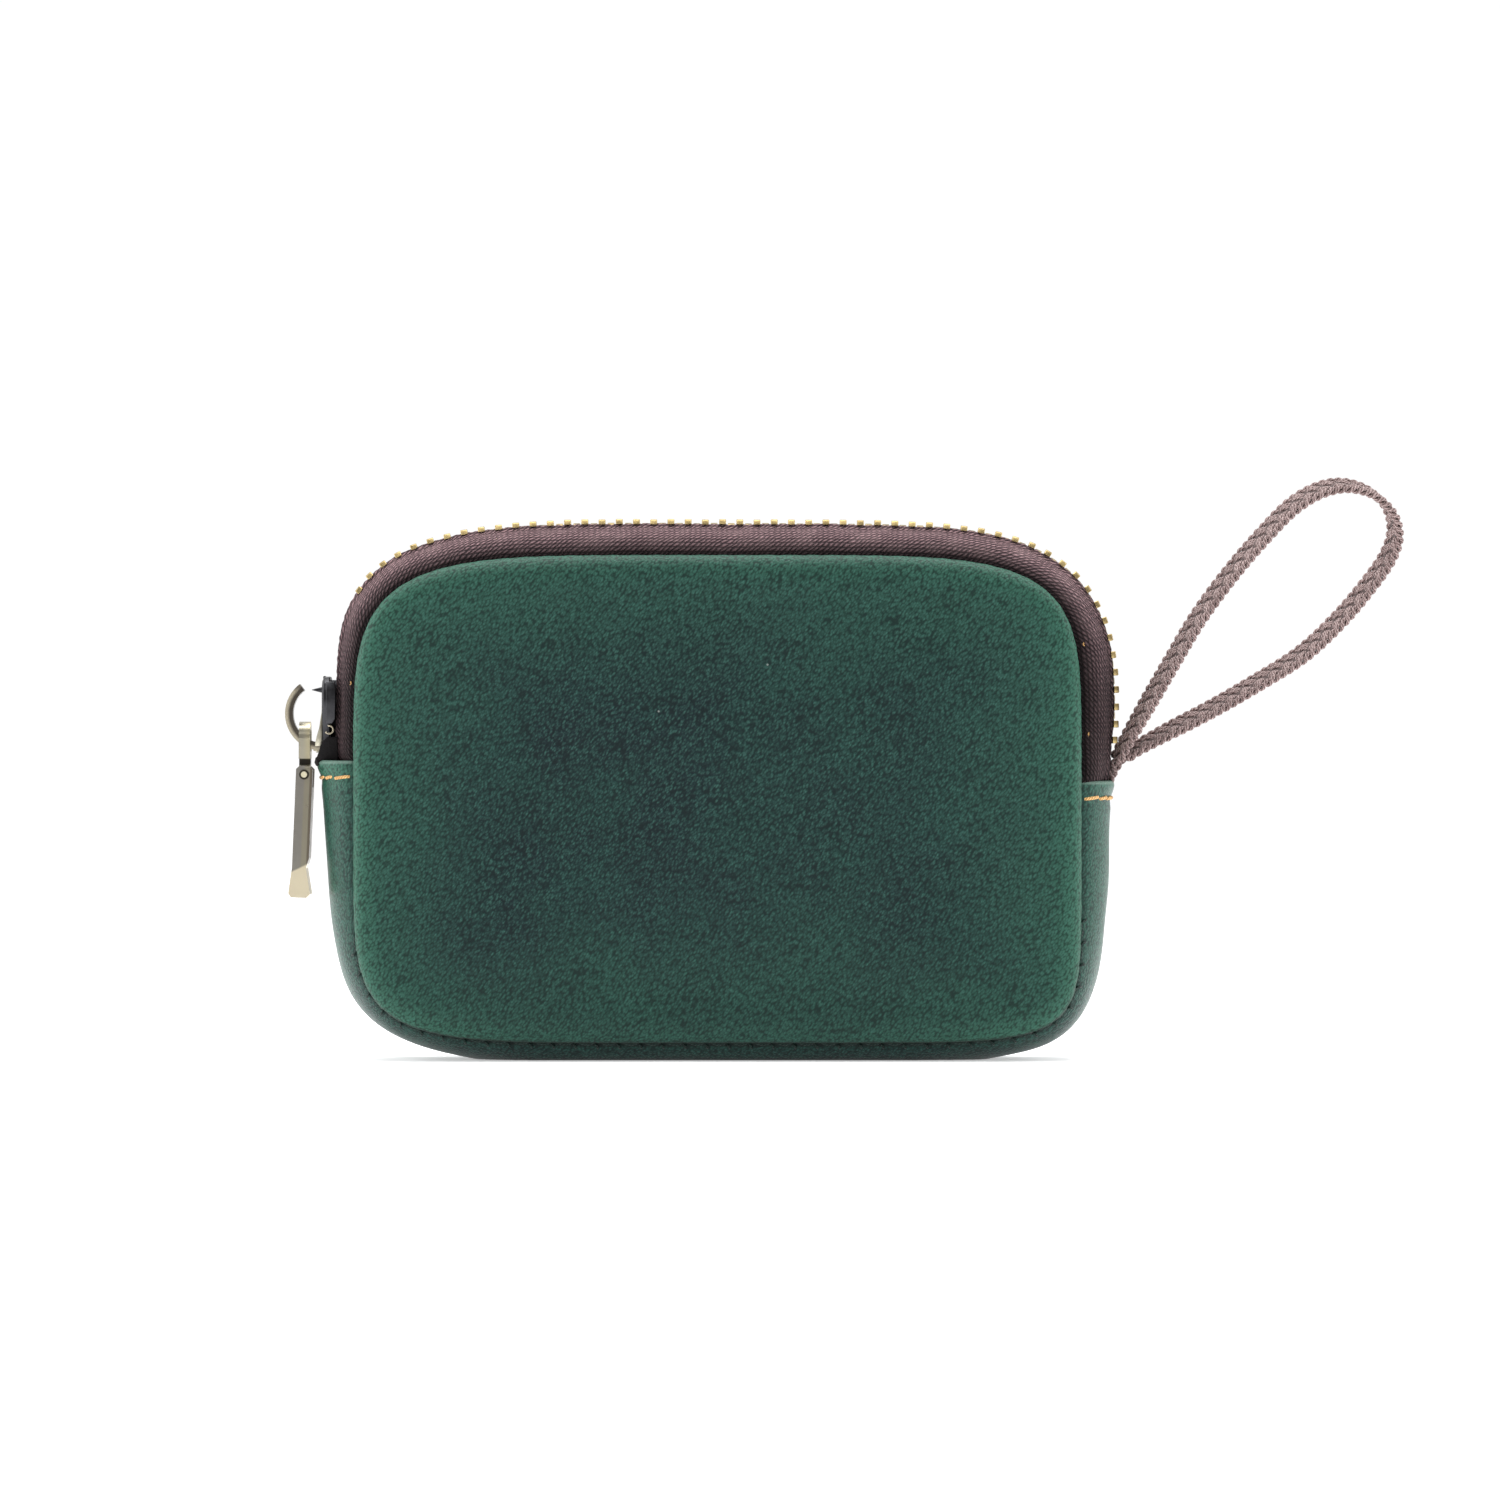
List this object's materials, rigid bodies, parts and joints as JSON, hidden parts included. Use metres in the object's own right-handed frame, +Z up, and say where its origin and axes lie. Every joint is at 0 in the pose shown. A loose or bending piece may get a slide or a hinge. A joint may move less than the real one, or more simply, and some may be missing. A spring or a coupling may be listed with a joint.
{
  "type": "zippered pouch",
  "caption": "Small rounded leather pouch with a gusseted base, a metal zip round the top, a hinged zip pull and a braided wrist loop at one side.",
  "frame": {"origin": "centre of the base face that the pouch stands on", "axes": "+X along the pouch towards the wrist loop, -Y out of the front panel, +Z up to the zip"},
  "size_m": [0.1693, 0.0256, 0.0879],
  "materials": {
    "leather_green": "Smooth nubuck-like leather, deep green with cloudy blue-green patches and fine grain",
    "lining_fabric": "Plain woven polyester lining",
    "tape_brown": "Knitted dark brown zip tape",
    "zip_brass": "Brass, lightly aged",
    "thread_green": "Waxed dark green thread",
    "thread_gold": "Golden waxed thread",
    "antique_metal": "Antique brass with bright worn edges",
    "dark_metal": "Blackened metal",
    "rivet_brass": "Polished rivet",
    "strap_braid": "Flat braided webbing, mauve brown"
  },
  "bodies": {
    "pouch": {"front_panel_lower": "leather_green", "back_panel_lower": "leather_green", "front_lining_lower": "lining_fabric", "back_lining_lower": "lining_fabric", "gusset_band": "leather_green", "gusset_lining": "lining_fabric", "front_tape_ends": "tape_brown", "back_tape_ends": "tape_brown", "front_side_teeth": "zip_brass", "back_side_teeth": "zip_brass", "bottom_stop": "zip_brass", "front_seam_thread": "thread_green", "back_seam_thread": "thread_green", "left_hem_thread": "thread_gold", "right_hem_thread": "thread_gold", "strap_anchor": "strap_braid"},
    "front_flap": {"front_panel_upper": "leather_green", "front_lining_upper": "lining_fabric", "front_tape": "tape_brown", "front_teeth": "zip_brass", "front_top_stop": "zip_brass"},
    "back_flap": {"back_panel_upper": "leather_green", "back_lining_upper": "lining_fabric", "back_tape": "tape_brown", "back_teeth": "zip_brass", "back_top_stop": "zip_brass"},
    "slider": {"slider_body": "dark_metal", "slider_crown": "antique_metal", "lock_pin": "dark_metal"},
    "pull_link": {"pull_link": "antique_metal"},
    "pull_tab": {"pull_tab": "antique_metal", "pull_rivet": "rivet_brass"},
    "strap": {"wrist_strap": "strap_braid"}
  },
  "joints": [
    {"name": "front_mouth", "type": "hinge", "parent": "pouch", "child": "front_flap", "pos_m": [-0.057, -0.0095, 0.0665], "axis": [0.9873, 0, -0.1588], "range_deg": [0, 30]},
    {"name": "back_mouth", "type": "hinge", "parent": "pouch", "child": "back_flap", "pos_m": [-0.057, 0.0095, 0.0665], "axis": [-0.9873, 0, 0.1588], "range_deg": [0, 30]},
    {"name": "slider_travel", "type": "slide", "parent": "pouch", "child": "slider", "axis": [0, 0, 1], "range_m": [0, 0.0045]},
    {"name": "link_swing", "type": "hinge", "parent": "slider", "child": "pull_link", "pos_m": [-0.0594, 0, 0.0522], "axis": [0, 1, 0], "range_deg": [0, 75]},
    {"name": "tab_swing", "type": "hinge", "parent": "pull_link", "child": "pull_tab", "pos_m": [-0.062, 0, 0.043], "axis": [0, 1, 0], "range_deg": [-4, 90]},
    {"name": "strap_swing", "type": "hinge", "parent": "pouch", "child": "strap", "pos_m": [0.0601, 0, 0.0439], "axis": [0, 1, 0], "range_deg": [-3, 65]}
  ]
}
